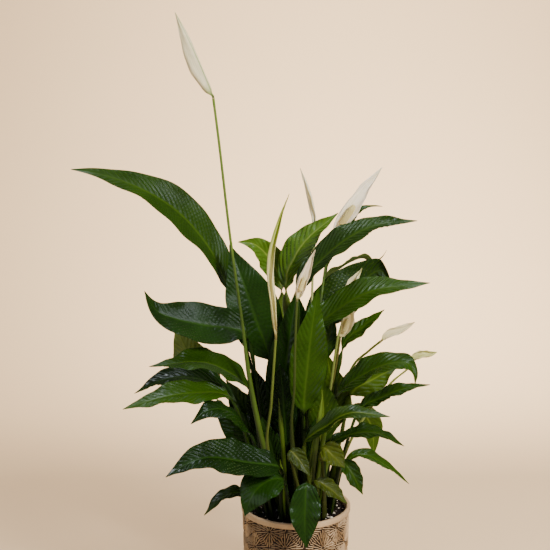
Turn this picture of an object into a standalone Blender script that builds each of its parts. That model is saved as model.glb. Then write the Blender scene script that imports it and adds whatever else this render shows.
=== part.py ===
"""Potted peace lily: a turned pot, a plug of soil, leaves on long stalks and hooded white flowers.

Lengths in the tables are millimetres. The origin is the centre of the pot's base, +Z is up and the
plant's fullest side faces -Y.
"""
import math
from collections import namedtuple

import bmesh
import bpy
from mathutils import Matrix, Vector

MM = 0.001

# Pot and soil
POT_HEIGHT = 140.0
POT_RIM_RADIUS = 75.0
POT_BASE_RADIUS = 70.5
POT_WALL = 4.0
LIP_HEIGHT = 8.0
LIP_STANDOUT = 1.2
RIM_ROUNDING = 1.3
BASE_BEVEL = 2.0
SOIL_DEPTH_BELOW_RIM = 10.0
SOIL_CROWN = 3.0
TURN_STEPS = 48
GAP = 0.3

# Leaves and flowers
LEAF_STALK_ROOT_RADIUS = 3.2
LEAF_STALK_RADIUS = 1.7
BUD_STALK_RADIUS = 1.5
LEAF_RIB = 1.3
LEAF_SKIN = 0.7
SPATHE_SKIN = 0.7
TIP_SKIN = 0.3
FLOWER_STALK_RADIUS = 2.1
STALK_TAPER = 0.75
STALK_SPRING = 0.05
STRAIGHT_FOOT = 6.0
LEAF_STALK_RINGS = 4
BUD_STALK_RINGS = 6
LEAF_ACROSS = 5
HOOD_ACROSS = 7
NECK_LENGTH = 2.0
SPADIX_STEPS = 12
SPADIX_FROM = 0.18
SPADIX_TOWARDS = 0.64
SPADIX_SETBACK = 0.7
SPADIX_SHOULDER = (0.25, 1.0)
SPADIX_WAIST = (0.1, 0.8)
SPADIX_FOOT = 0.45
BLADE_STATIONS = (0.0, 0.07, 0.18, 0.32, 0.48, 0.64, 0.8, 0.92, 1.0)
MIDDLE_STATION = 0.48
BASE_ROUNDNESS = 0.75
TIP_SLIMNESS = 1.2
FULL_SKIN_LEAF = 0.5
FULL_SKIN_HOOD = 0.4
STALK_CURVE_STEPS = 6
BLADE_CURVE_STEPS = 8
FLOWER_STALK_CURVE_STEPS = 3
SPRING_AT = 0.45
LEAST_TURN = 0.02
WIDEST_AT = 0.42
TIP_WIDTH = 1.0
COLLECTION = "potted_peace_lily"

# root: where the stalk leaves the soil (x, y). path: from the stalk's end to the blade's tip.
# width: across the blade. face: azimuth and elevation of the way that its upper side looks.
# cup: how far the blade turns up from its midrib to each edge, in degrees.
Leaf = namedtuple("Leaf", "name root path width face cup")
LEAVES = [
    Leaf("leaf_01", (-16, 22),
         [(-92, 45, 430), (-122, 42, 498), (-175, 30, 556), (-248, 14, 592), (-296, 4, 602)],
         62, (-60, 45), 16),
    Leaf("leaf_02", (-12, 6), [(-36, 5, 343), (-53, 7, 395), (-72, 14, 451), (-90, 25, 498)],
         74, (-78, 20), 12),
    Leaf("leaf_03", (-28, -8),
         [(-66, -14, 378), (-104, -22, 396), (-150, -34, 408), (-184, -42, 424), (-198, -46, 450)],
         60, (-98, 40), 10),
    Leaf("leaf_04", (-32, 26), [(-112, 62, 272), (-143, 76, 315), (-170, 86, 372)], 58, (108, 20), 8),
    Leaf("leaf_05", (-36, -14), [(-62, -28, 307), (-82, -36, 334), (-125, -50, 357), (-192, -66, 354)],
         56, (-113, 67), 12),
    Leaf("leaf_06", (-42, 8), [(-82, 10, 281), (-123, 2, 316), (-172, -10, 323), (-217, -22, 304)],
         50, (-120, 66), 12),
    Leaf("leaf_07", (-38, -26), [(-86, -52, 305), (-119, -70, 321), (-169, -94, 323), (-222, -112, 311)],
         48, (-103, 62), 10),
    Leaf("leaf_08", (-31, -33), [(-62, -64, 262), (-86, -86, 300), (-114, -104, 308), (-136, -114, 292)],
         48, (-114, 60), -22),
    Leaf("leaf_09", (-30, 38), [(-52, 42, 225), (-73, 50, 262), (-97, 55, 300)], 40, (-110, 30), 10),
    Leaf("leaf_10", (-20, -42),
         [(-22, -84, 222), (-62, -104, 238), (-108, -120, 251), (-138, -134, 248), (-166, -146, 233)],
         58, (-90, 56), 8),
    Leaf("leaf_11", (-6, -46), [(-18, -84, 206), (-40, -98, 209), (-58, -108, 194), (-68, -110, 166)],
         52, (-98, 40), 8),
    Leaf("leaf_12", (-48, -16), [(-62, -30, 160), (-78, -42, 173), (-100, -56, 171), (-123, -66, 149)],
         25, (-130, 50), 10),
    Leaf("leaf_13", (8, -46), [(12, -88, 203), (11, -100, 183), (10, -106, 156), (12, -108, 121)],
         41, (-92, 24), 8),
    Leaf("leaf_14", (30, -38), [(24, -58, 194), (42, -70, 190), (66, -82, 172)], 24, (-76, 56), 8),
    Leaf("leaf_15", (-4, 34), [(-20, 62, 428), (-33, 58, 467), (-55, 50, 493), (-79, 44, 498)],
         38, (-115, 46), 12),
    Leaf("leaf_16", (2, 24), [(-14, 30, 436), (-6, 28, 474), (15, 30, 506), (56, 36, 539)],
         42, (-112, 34), 12),
    Leaf("leaf_17", (12, -6), [(2, -20, 435), (36, -28, 493), (93, -40, 534), (153, -50, 543)],
         48, (-120, 54), 16),
    Leaf("leaf_18", (16, 41), [(44, 104, 451), (71, 112, 509), (98, 116, 534), (122, 118, 535)],
         24, (-127, 60), 10),
    Leaf("leaf_19", (24, 30), [(36, 76, 424), (64, 84, 456), (92, 90, 468), (114, 94, 461), (127, 94, 477)],
         24, (130, 68), 10),
    Leaf("leaf_20", (18, 16), [(22, 46, 374), (54, 52, 413), (92, 52, 444), (118, 44, 458), (126, 27, 436)],
         66, (-107, 30), 8),
    Leaf("leaf_21", (24, -10), [(12, -30, 373), (45, -42, 419), (96, -56, 453), (169, -70, 466)],
         52, (-110, 54), 14),
    Leaf("leaf_22", (36, 18), [(64, 32, 352), (92, 38, 381), (121, 42, 404)], 24, (-108, 50), 10),
    Leaf("leaf_23", (14, -28), [(9, -60, 290), (13, -68, 350), (19, -68, 406), (27, -60, 457)],
         50, (-84, 12), 10),
    Leaf("leaf_24", (2, -8), [(-14, -6, 232), (-16, -4, 300), (-10, 1, 372), (2, 8, 446)],
         54, (-90, 24), 10),
    Leaf("leaf_25", (-20, 0), [(-38, 12, 220), (-47, 14, 280), (-60, 14, 334)], 46, (-90, 30), 10),
    Leaf("leaf_26", (38, -6),
         [(54, -18, 297), (82, -32, 331), (120, -48, 354), (150, -62, 354), (153, -68, 331)],
         46, (-102, 62), 12),
    Leaf("leaf_27", (44, 18), [(76, 26, 287), (106, 32, 308), (139, 38, 323)], 46, (-105, 38), 8),
    Leaf("leaf_28", (46, 4), [(84, -6, 274), (112, -14, 296), (144, -20, 311), (178, -24, 317)],
         24, (-120, 54), 12),
    Leaf("leaf_29", (22, -40), [(10, -76, 253), (37, -90, 282), (67, -102, 304), (117, -118, 303)],
         36, (-106, 68), 10),
    Leaf("leaf_30", (42, 28), [(75, 40, 257), (99, 46, 249), (109, 50, 222), (110, 52, 187)],
         34, (-68, 24), 8),
    Leaf("leaf_31", (38, -20), [(40, -46, 236), (72, -58, 260), (106, -72, 266), (139, -84, 252)],
         36, (-90, 76), 10),
    Leaf("leaf_32", (38, -32), [(34, -68, 243), (48, -78, 236), (62, -88, 224)], 32, (-76, 32), 8),
    Leaf("leaf_33", (48, -14), [(60, -30, 210), (74, -38, 199), (89, -42, 169)], 26, (-70, 32), 8),
    Leaf("leaf_34", (50, 10), [(67, 8, 194), (90, 12, 207), (124, 18, 190), (158, 22, 159)],
         20, (-90, 66), 12),
    Leaf("leaf_35", (10, -38), [(-10, -88, 246), (3, -98, 238), (16, -104, 219)], 22, (-80, 36), 8),
    Leaf("leaf_36", (27, 12), [(40, 24, 340), (45, 28, 368), (52, 30, 398)], 24, (-96, 12), 10),
    Leaf("leaf_37", (-8, 22), [(-18, 34, 205), (-24, 40, 260), (-36, 44, 316)], 60, (-90, 20), 8),
    Leaf("leaf_38", (22, -20), [(32, -28, 236), (36, -24, 280), (32, -20, 330)], 44, (-80, 20), 10),
    Leaf("leaf_39", (26, 20), [(44, 30, 232), (52, 36, 284), (42, 40, 345)], 46, (-96, 20), 10),
    Leaf("leaf_40", (-32, 19), [(-46, 28, 200), (-72, 30, 232), (-116, 31, 278)], 48, (-104, 20), 8),
]

# A bud is still rolled up on its stalk, grown as one piece. stalk: the points that it passes on its
# way up. roll: the bud's thickness. wrap: how far the sheet turns from its back to each edge, in degrees.
Bud = namedtuple("Bud", "name root stalk path roll face wrap")
BUDS = [
    Bud("bud_1", (6, 12), [(18, 30, 330)],
        [(24, 46, 515), (21, 47, 545), (14, 47, 571), (5, 46, 598)], 6, (-90, 0), 150),
    Bud("bud_2", (28, 0), [(46, 3, 300)],
        [(62, 4, 418), (69, 4, 436), (77, 4, 452), (87, 4, 470)], 12, (-110, 20), 120),
    Bud("bud_3", (46, -8), [(68, -14, 222), (93, -10, 268), (120, -4, 304)],
        [(156, -2, 344), (167, -2, 351), (178, -2, 352), (189, -2, 356)], 10, (-90, 40), 115),
]

# A flower has its hood and its spike on a stalk. path: from the stalk's end to the hood's tip.
# spadix: (length, radius), or None where the hood hides it.
Flower = namedtuple("Flower", "name root stalk path roll face wrap spadix")
FLOWERS = [
    Flower("flower_1", (-22, -22),
           [(-46, -42, 245), (-62, -44, 329), (-72, -42, 410), (-87, -38, 522), (-99, -34, 631)],
           [(-107, -31, 697), (-124, -30, 738), (-140, -30, 775), (-154, -30, 804)],
           19, (150, 20), 95, None),
    Flower("flower_2", (16, 6), [(14, 10, 271), (28, 24, 367), (36, 46, 432), (42, 56, 469)],
           [(50, 58, 498), (66, 58, 535), (90, 58, 568), (116, 58, 598)], 25, (-60, 20), 85, (34, 4.5)),
    Flower("flower_3", (-8, -28), [(-38, -66, 239), (-34, -82, 305), (-31, -86, 350)],
           [(-28, -86, 395), (-34, -86, 455), (-36, -84, 502), (-24, -82, 548), (-11, -80, 582)],
           10, (-70, 4), 130, None),
    Flower("flower_4", (4, -22), [(-7, -66, 267), (-4, -80, 325), (-3, -84, 392)],
           [(-1, -84, 445), (4, -84, 470), (12, -82, 490), (22, -80, 511)], 12, (-70, 6), 105, (20, 2.5)),
    Flower("flower_5", (32, 6), [(38, 10, 251), (52, 14, 321)],
           [(59, 16, 369), (64, 16, 388), (69, 16, 406), (76, 16, 428)], 18, (-60, 10), 85, (20, 3.2)),
    Flower("flower_6", (34, 26), [(46, 40, 233), (77, 54, 315), (100, 57, 340)],
           [(118, 58, 355), (130, 58, 364), (146, 58, 370), (165, 60, 382)], 13, (-90, 50), 85, None),
]


def clear_scene():
    for obj in list(bpy.data.objects):
        bpy.data.objects.remove(obj, do_unlink=True)


def make_collection():
    collection = bpy.data.collections.new(COLLECTION)
    bpy.context.scene.collection.children.link(collection)
    return collection


def finish(name, colour, roughness):
    """A plain material in the piece's colour."""
    material = bpy.data.materials.new(name)
    material.use_nodes = True
    shader = material.node_tree.nodes["Principled BSDF"]
    shader.inputs["Base Color"].default_value = (*colour, 1.0)
    shader.inputs["Roughness"].default_value = roughness
    shader.inputs["Metallic"].default_value = 0.0
    material.diffuse_color = (*colour, 1.0)
    return material


def add_object(collection, name, data, material):
    data.materials.append(material)
    obj = bpy.data.objects.new(name, data)
    collection.objects.link(obj)
    return obj


def turned_piece(collection, name, profile, material, steps=TURN_STEPS):
    """A solid of revolution. The profile of (radius, height) pairs runs down its outer side."""
    mesh = bpy.data.meshes.new(name)
    points = [(radius * MM, 0.0, height * MM) for radius, height in profile]
    mesh.from_pydata(points, [(i, i + 1) for i in range(len(points) - 1)], [])
    obj = add_object(collection, name, mesh, material)
    screw = obj.modifiers.new("Turn", "SCREW")
    screw.steps = steps
    screw.render_steps = steps
    screw.use_merge_vertices = True
    screw.merge_threshold = 0.00005
    screw.use_smooth_shade = True
    return obj


def pot_wall_radius(height):
    """Outer radius of the pot's tapered wall, without its lip."""
    return POT_BASE_RADIUS + (POT_RIM_RADIUS - LIP_STANDOUT - POT_BASE_RADIUS) * height / POT_HEIGHT


def rounded_rim(steps=4):
    """The lip's top, from its inner edge over to its outer one, as two quarter arcs."""
    inner = POT_RIM_RADIUS - LIP_STANDOUT - POT_WALL + RIM_ROUNDING
    outer = POT_RIM_RADIUS - RIM_ROUNDING
    centre_height = POT_HEIGHT - RIM_ROUNDING
    arc = []
    for middle, start in ((inner, 180.0), (outer, 90.0)):
        for step in range(steps + 1):
            angle = math.radians(start - 90.0 * step / steps)
            arc.append((middle + RIM_ROUNDING * math.cos(angle),
                        centre_height + RIM_ROUNDING * math.sin(angle)))
    return arc


def make_pot(collection):
    lip_foot = POT_HEIGHT - LIP_HEIGHT
    profile = [(0.0, POT_WALL), (pot_wall_radius(POT_WALL) - POT_WALL, POT_WALL)]
    profile += rounded_rim()
    profile += [
        (POT_RIM_RADIUS, lip_foot),
        (pot_wall_radius(lip_foot) + GAP, lip_foot - LIP_STANDOUT),
        (pot_wall_radius(BASE_BEVEL), BASE_BEVEL),
        (POT_BASE_RADIUS - BASE_BEVEL, 0.0),
        (0.0, 0.0),
    ]
    turned_piece(collection, "pot", profile, finish("pot_glaze", (0.42, 0.33, 0.24), 0.45))


def soil_height(radius):
    """The soil's top at this distance from the middle: a low mound."""
    crown = SOIL_CROWN * math.cos(0.5 * math.pi * radius / POT_RIM_RADIUS)
    return POT_HEIGHT - SOIL_DEPTH_BELOW_RIM + crown


def make_soil(collection):
    def wall(height):
        return pot_wall_radius(height) - POT_WALL - GAP

    floor = POT_WALL + GAP
    edge = wall(POT_HEIGHT - SOIL_DEPTH_BELOW_RIM)
    profile = [(edge * step / 4, soil_height(edge * step / 4)) for step in range(5)]
    profile += [(wall(floor) - GAP, floor), (0.0, floor)]
    turned_piece(collection, "soil", profile, finish("potting_mix", (0.03, 0.022, 0.018), 0.95))


def smooth_points(knots, counts):
    """Points on one smooth curve through the knots, counts[i] of them after knot i."""
    knots = [Vector(knot) for knot in knots]
    ends = [2 * knots[0] - knots[1]] + knots + [2 * knots[-1] - knots[-2]]
    points = []
    for i, count in enumerate(counts):
        before, start, stop, after = ends[i:i + 4]
        for step in range(count):
            t = step / count
            slope = stop - before
            bend = 2 * before - 5 * start + 4 * stop - after
            twist = 3 * start - before - 3 * stop + after
            points.append(0.5 * (2 * start + slope * t + bend * t ** 2 + twist * t ** 3))
    return points + [knots[-1]]


def at_fraction(points, fraction):
    """The place this far along a chain of points, counted by length."""
    lengths = [(b - a).length for a, b in zip(points, points[1:])]
    left = fraction * sum(lengths)
    for start, stop, length in zip(points, points[1:], lengths):
        if left <= length:
            return start.lerp(stop, left / length)
        left -= length
    return points[-1].copy()


def direction(azimuth, elevation):
    azimuth, elevation = math.radians(azimuth), math.radians(elevation)
    flat = math.cos(elevation)
    return Vector((flat * math.cos(azimuth), flat * math.sin(azimuth), math.sin(elevation)))


def frames_along(spine, face, middle):
    """A tangent and an upper-side normal at each point, turned as little as possible from the middle."""
    last = len(spine) - 1
    tangents = [(spine[min(i + 1, last)] - spine[max(i - 1, 0)]).normalized() for i in range(last + 1)]
    normals = [None] * (last + 1)
    normals[middle] = (face - face.dot(tangents[middle]) * tangents[middle]).normalized()
    for order in (range(middle + 1, last + 1), range(middle - 1, -1, -1)):
        previous = middle
        for i in order:
            turn = tangents[previous].rotation_difference(tangents[i])
            normals[i] = (turn @ normals[previous]).normalized()
            previous = i
    return list(zip(tangents, normals))


def blade_width(fraction):
    """Width along a blade with a rounded base and a drawn-out tip, 1 where it is widest."""
    wave = math.sin(math.pi * fraction ** (math.log(0.5) / math.log(WIDEST_AT)))
    return max(wave, 0.0) ** (BASE_ROUNDNESS if fraction < WIDEST_AT else TIP_SLIMNESS)


def round_section(radius, across):
    """A round stalk's section, as points (sideways, up) in the blade section's order."""
    count = 2 * (across - 1)
    return [(-radius * math.cos(2 * math.pi * i / count), radius * math.sin(2 * math.pi * i / count))
            for i in range(count)]


def blade_section(width, cup, rib, skin, across):
    """A sheet's section: its upper side from the left edge to the right one, then back underneath."""
    turn = math.radians(cup)
    half = across // 2
    upper, lower = [], []
    for i in range(-half, half + 1):
        part = i / half
        angle = turn * part
        if abs(turn) < LEAST_TURN:
            place, outward = Vector((0.5 * width * part, 0.0)), Vector((0.0, -1.0))
        else:
            bend = 0.5 * width / turn
            place = Vector((bend * math.sin(angle), bend * (1.0 - math.cos(angle))))
            outward = Vector((math.sin(angle), -math.cos(angle)))
        depth = skin if i else rib
        upper.append(place)
        lower.append(place + depth * outward)
    return upper + lower[-2:0:-1]


def placed(section, centre, tangent, normal):
    side = normal.cross(tangent).normalized()
    return [centre - side * sideways + normal * up for sideways, up in section]


def loft(collection, name, rings, material):
    """One closed skin over rings of equal count, with flat ends."""
    builder = bmesh.new()
    layers = [[builder.verts.new(point * MM) for point in ring] for ring in rings]
    count = len(layers[0])
    for lower, upper in zip(layers, layers[1:]):
        for i in range(count):
            following = (i + 1) % count
            builder.faces.new((lower[i], lower[following], upper[following], upper[i]))
    for ring in (layers[0], layers[-1]):
        builder.faces.new(ring)
    bmesh.ops.triangulate(builder, faces=builder.faces[:], quad_method="SHORT_EDGE", ngon_method="BEAUTY")
    bmesh.ops.recalc_face_normals(builder, faces=builder.faces[:])
    mesh = bpy.data.meshes.new(name)
    builder.to_mesh(mesh)
    builder.free()
    mesh.shade_smooth()
    return add_object(collection, name, mesh, material)


def stalk_foot(root):
    return Vector((*root, soil_height(math.hypot(*root)) + GAP))


def spring_point(root, neck):
    """The place that a leaf's stalk passes on its way, a little straighter up than a straight line."""
    foot = stalk_foot(root)
    return foot.lerp(Vector(neck), SPRING_AT) + Vector((0.0, 0.0, STALK_SPRING * (neck[2] - foot.z)))


def grown_piece(collection, name, knots, stalk_knots, face, stalk_radii, stalk_rings,
                sections, across, material):
    """A stalk from the soil that widens into a sheet after its last stalk knot.

    sections gives the sheet's section at a station.
    """
    counts = [STALK_CURVE_STEPS] * (stalk_knots - 1) + [BLADE_CURVE_STEPS] * (len(knots) - stalk_knots)
    curve = smooth_points(knots, counts)
    neck_at = STALK_CURVE_STEPS * (stalk_knots - 1)
    stalk, sheet = curve[:neck_at + 1], curve[neck_at:]
    spine = [at_fraction(stalk, i / stalk_rings) for i in range(stalk_rings)]
    spine += [at_fraction(sheet, station) for station in BLADE_STATIONS]
    frames = frames_along(spine, direction(*face), stalk_rings + BLADE_STATIONS.index(MIDDLE_STATION))
    level = Vector((frames[0][1].x, frames[0][1].y, 0.0))
    frames[0] = (Vector((0.0, 0.0, 1.0)), level.normalized())
    rings = []
    for i, (centre, frame) in enumerate(zip(spine, frames)):
        if i <= stalk_rings:
            thick, thin = stalk_radii
            section = round_section(thick + (thin - thick) * i / stalk_rings, across)
        else:
            section = sections(BLADE_STATIONS[i - stalk_rings])
        rings.append(placed(section, centre, *frame))
    loft(collection, name, rings, material)


def make_leaf(collection, leaf, material):
    def section(station):
        width = TIP_WIDTH + (leaf.width - TIP_WIDTH) * blade_width(station)
        slim = min(1.0, width / (FULL_SKIN_LEAF * leaf.width))
        rib, skin = LEAF_RIB * slim + TIP_SKIN, LEAF_SKIN * slim + TIP_SKIN
        return blade_section(width, leaf.cup, rib, skin, LEAF_ACROSS)

    radii = (LEAF_STALK_ROOT_RADIUS, LEAF_STALK_RADIUS)
    knots = [stalk_foot(leaf.root), spring_point(leaf.root, leaf.path[0]), *leaf.path]
    grown_piece(collection, leaf.name, knots, 3, leaf.face, radii, LEAF_STALK_RINGS,
                section, LEAF_ACROSS, material)


def hood_section(station, roll, wrap):
    """The section of a rolled sheet that has this thickness at its fullest."""
    full = roll * math.radians(wrap)
    width = TIP_WIDTH + (full - TIP_WIDTH) * blade_width(station)
    skin = SPATHE_SKIN * min(1.0, width / (FULL_SKIN_HOOD * full)) + TIP_SKIN
    return blade_section(width, wrap, skin, skin, HOOD_ACROSS)


def make_bud(collection, bud, material):
    def section(station):
        return hood_section(station, bud.roll, bud.wrap)

    radii = (FLOWER_STALK_RADIUS, BUD_STALK_RADIUS)
    knots = [stalk_foot(bud.root), *bud.stalk, *bud.path]
    grown_piece(collection, bud.name, knots, len(bud.stalk) + 2, bud.face, radii, BUD_STALK_RINGS,
                section, HOOD_ACROSS, material)


def make_flower_stalk(collection, flower, material):
    curve = bpy.data.curves.new(flower.name + "_stalk", "CURVE")
    curve.dimensions = "3D"
    curve.bevel_depth = FLOWER_STALK_RADIUS * MM
    curve.bevel_resolution = 2
    curve.use_fill_caps = True
    foot = stalk_foot(flower.root)
    upright = foot + Vector((0.0, 0.0, STRAIGHT_FOOT))
    knots = [foot, upright, *flower.stalk, flower.path[0]]
    points = smooth_points(knots, [1] + [FLOWER_STALK_CURVE_STEPS] * (len(knots) - 2))
    spline = curve.splines.new("POLY")
    spline.points.add(len(points) - 1)
    for i, point in enumerate(points):
        spline.points[i].co = (*(point * MM), 1.0)
        spline.points[i].radius = 1.0 - (1.0 - STALK_TAPER) * i / (len(points) - 1)
    add_object(collection, curve.name, curve, material)
    return (points[-1] - points[-2]).normalized()


def make_spathe(collection, flower, along, material):
    """The white hood: a short round neck that opens into a sheet rolled round the spadix."""
    path = [Vector(point) for point in flower.path]
    start = path[0] + along * GAP
    counts = [BLADE_CURVE_STEPS] * (len(path) - 1)
    curve = smooth_points([start + along * NECK_LENGTH, *path[1:]], counts)
    spine = [start] + [at_fraction(curve, station) for station in BLADE_STATIONS]
    frames = frames_along(spine, direction(*flower.face), 1 + BLADE_STATIONS.index(MIDDLE_STATION))
    frames[0] = (along, (frames[0][1] - along * along.dot(frames[0][1])).normalized())
    rings = []
    for i, (centre, frame) in enumerate(zip(spine, frames)):
        if i < 2:
            section = round_section(FLOWER_STALK_RADIUS * STALK_TAPER, HOOD_ACROSS)
        else:
            section = hood_section(BLADE_STATIONS[i - 1], flower.roll, flower.wrap)
        rings.append(placed(section, centre, *frame))
    loft(collection, flower.name + "_spathe", rings, material)
    return curve, frames[1:]


def make_spadix(collection, flower, curve, frames, material):
    """The flower spike: a blunt turned rod on a thin foot, standing in the middle of the roll."""
    length, radius = flower.spadix
    low = BLADE_STATIONS.index(SPADIX_FROM)
    high = BLADE_STATIONS.index(SPADIX_TOWARDS)
    middle = 0.5 * flower.roll
    foot_inset = middle * SPADIX_SETBACK * blade_width(SPADIX_FROM)
    head_inset = middle * blade_width(SPADIX_TOWARDS)
    foot = at_fraction(curve, SPADIX_FROM) + frames[low][1] * foot_inset
    head = at_fraction(curve, SPADIX_TOWARDS) + frames[high][1] * head_inset
    profile = []
    for angle in (0, 30, 60, 90):
        turn = math.radians(angle)
        profile.append((radius * math.sin(turn), length - radius * (1 - math.cos(turn))))
    for share, swell in (SPADIX_SHOULDER, SPADIX_WAIST, (0.0, SPADIX_FOOT), (0.0, 0.0)):
        profile.append((swell * radius, share * length))
    spadix = turned_piece(collection, flower.name + "_spadix", profile, material, SPADIX_STEPS)
    turn = (head - foot).to_track_quat("Z", "Y")
    spadix.matrix_world = Matrix.Translation(foot * MM) @ turn.to_matrix().to_4x4()


def make_flower(collection, flower, finishes):
    along = make_flower_stalk(collection, flower, finishes["stalk"])
    curve, frames = make_spathe(collection, flower, along, finishes["spathe"])
    if flower.spadix:
        make_spadix(collection, flower, curve, frames, finishes["spadix"])


def build():
    clear_scene()
    collection = make_collection()
    make_pot(collection)
    make_soil(collection)
    leaf_finish = finish("leaf_green", (0.06, 0.17, 0.05), 0.35)
    for leaf in LEAVES:
        make_leaf(collection, leaf, leaf_finish)
    finishes = {
        "stalk": finish("stalk_green", (0.22, 0.32, 0.1), 0.45),
        "spathe": finish("spathe_white", (0.85, 0.83, 0.7), 0.5),
        "spadix": finish("spadix_cream", (0.72, 0.66, 0.36), 0.7),
    }
    for bud in BUDS:
        make_bud(collection, bud, finishes["spathe"])
    for flower in FLOWERS:
        make_flower(collection, flower, finishes)


build()
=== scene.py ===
from math import ceil, cos, hypot, pi, radians, sin

import bmesh
import bpy
import numpy as np
from mathutils import Matrix, Vector, kdtree, noise


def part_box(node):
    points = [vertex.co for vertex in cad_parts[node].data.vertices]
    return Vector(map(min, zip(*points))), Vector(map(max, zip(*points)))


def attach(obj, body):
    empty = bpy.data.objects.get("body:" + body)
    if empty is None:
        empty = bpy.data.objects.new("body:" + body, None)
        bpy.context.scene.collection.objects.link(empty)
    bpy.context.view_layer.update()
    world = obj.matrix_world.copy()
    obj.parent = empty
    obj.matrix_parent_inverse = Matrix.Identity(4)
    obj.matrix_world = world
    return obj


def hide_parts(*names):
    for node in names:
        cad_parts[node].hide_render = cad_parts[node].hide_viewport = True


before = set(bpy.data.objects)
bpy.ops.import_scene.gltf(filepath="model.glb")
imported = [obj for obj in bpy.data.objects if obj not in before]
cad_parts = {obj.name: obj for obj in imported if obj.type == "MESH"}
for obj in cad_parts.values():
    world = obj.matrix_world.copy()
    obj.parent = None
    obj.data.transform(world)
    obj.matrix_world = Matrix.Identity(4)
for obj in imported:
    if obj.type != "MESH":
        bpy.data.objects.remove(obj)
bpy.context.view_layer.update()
print("frame loaded:", len(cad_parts), "nodes")


# small helpers for colours and nodes

def paint(code, strength=1.0):
    # a hex colour as the linear values that shaders take
    parts = [int(code[i:i + 2], 16) / 255 for i in (1, 3, 5)]
    linear = [p / 12.92 if p <= 0.04045 else ((p + 0.055) / 1.055) ** 2.4 for p in parts]
    return (*[strength * value for value in linear], 1.0)


def asKind(columns, *values, **more):
    return {**dict(zip(columns, values)), **more}


def addNode(tree, kind, inputs=None, **settings):
    node = tree.nodes.new(kind)
    for key, value in settings.items():
        setattr(node, key, value)
    for key, value in (inputs or {}).items():
        if isinstance(value, bpy.types.NodeSocket):
            tree.links.new(value, node.inputs[key])
        else:
            node.inputs[key].default_value = value
    return node


def mathOf(tree, operation, *values):
    return addNode(tree, "ShaderNodeMath", dict(enumerate(values)), operation=operation).outputs[0]


def timesOf(tree, *values):
    return mathOf(tree, "MULTIPLY", *values)


def mixOf(tree, factor, low, high):
    node = addNode(tree, "ShaderNodeMix", data_type="RGBA", clamp_factor=True)
    for index, value in ((0, factor), (6, low), (7, high)):
        if isinstance(value, bpy.types.NodeSocket):
            tree.links.new(value, node.inputs[index])
        else:
            node.inputs[index].default_value = value
    return node.outputs[2]


def rampOf(tree, factor, stops):
    node = addNode(tree, "ShaderNodeValToRGB", {"Fac": factor})
    ramp = node.color_ramp
    while len(ramp.elements) < len(stops):
        ramp.elements.new(0.5)
    for element, (place, value) in zip(ramp.elements, stops):
        element.position = place
        element.color = value if isinstance(value, tuple) else (value, value, value, 1.0)
    return node.outputs["Color"]


def spotsOf(tree, scale, detail=3.0, roughness=0.55, stretch=(1, 1, 1)):
    # soft noise that stays fixed to the piece
    place = addNode(tree, "ShaderNodeTexCoord").outputs["Object"]
    mapping = addNode(tree, "ShaderNodeMapping", {"Vector": place, "Scale": stretch})
    settings = {"Vector": mapping.outputs[0], "Scale": scale, "Detail": detail, "Roughness": roughness}
    return addNode(tree, "ShaderNodeTexNoise", settings).outputs["Fac"]


def attributeOf(tree, name):
    return addNode(tree, "ShaderNodeAttribute", attribute_name=name).outputs["Fac"]


def newMaterial(name, **sockets):
    material = bpy.data.materials.new(name)
    material.use_nodes = True
    tree = material.node_tree
    shader = tree.nodes["Principled BSDF"]
    for key, value in sockets.items():
        shader.inputs[key.replace("_", " ")].default_value = value
    return material, tree, shader


def coatWith(tree, shader, colour, height, strength, distance):
    # the colour and the fine relief of a surface
    bump = addNode(tree, "ShaderNodeBump", {"Height": height, "Strength": strength, "Distance": distance})
    tree.links.new(colour, shader.inputs["Base Color"])
    tree.links.new(bump.outputs[0], shader.inputs["Normal"])


def storeValues(mesh, values):
    # one number for each vertex, under each name
    for label, numbers in values.items():
        column = np.asarray(numbers, np.float32)
        mesh.attributes.new(label, "FLOAT", "POINT").data.foreach_set("value", column)


def linkPiece(name, mesh):
    piece = bpy.data.objects.new(name, mesh)
    bpy.context.scene.collection.objects.link(piece)
    return piece


# camera, light and stage

studio = {
    "unmirrored": ("key", "wash", "sweep"),   # lamps kept out of the glossy leaves
    "mirrorOnly": ("glint", "gleam"),         # lamps that only show as a shine
    "cameraPlace": (-0.0288, -1.6952, 0.8218),
    "cameraTilt": 78.0,          # degrees from straight down
    "lens": 85.4,
    "backdrop": "#e3cba9",
    "room": "#efe6da",
    "roomPower": 0.25,
    # each lamp: where it hangs, what it points at, its size, power and tint
    "lamps": {
        "key": ((0.85, -1.05, 1.25), (0.0, 0.0, 0.35), 0.40, 44.0, "#fff4e4"),
        "top": ((-0.15, 0.10, 1.75), (-0.05, 0.0, 0.3), 0.50, 6.0, "#e6eeff"),
        "glint": ((-0.45, -0.75, 1.55), (-0.05, 0.0, 0.3), 0.34, 7.0, "#eef3ff"),
        "gleam": ((0.85, -1.05, 1.25), (0.0, 0.0, 0.35), 0.50, 15.0, "#eef3ff"),
        "fill": ((-1.3, -1.1, 0.8), (0.0, 0.0, 0.35), 1.20, 4.0, "#eef4ff"),
        "wash": ((0.25, 0.85, 0.95), (0.25, 2.2, 0.40), 0.90, 40.0, "#ffedd6"),
        "sweep": ((0.10, 1.10, 2.20), (0.10, 0.95, 0.0), 1.60, 50.0, "#ffedd6"),
    },
}


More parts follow.
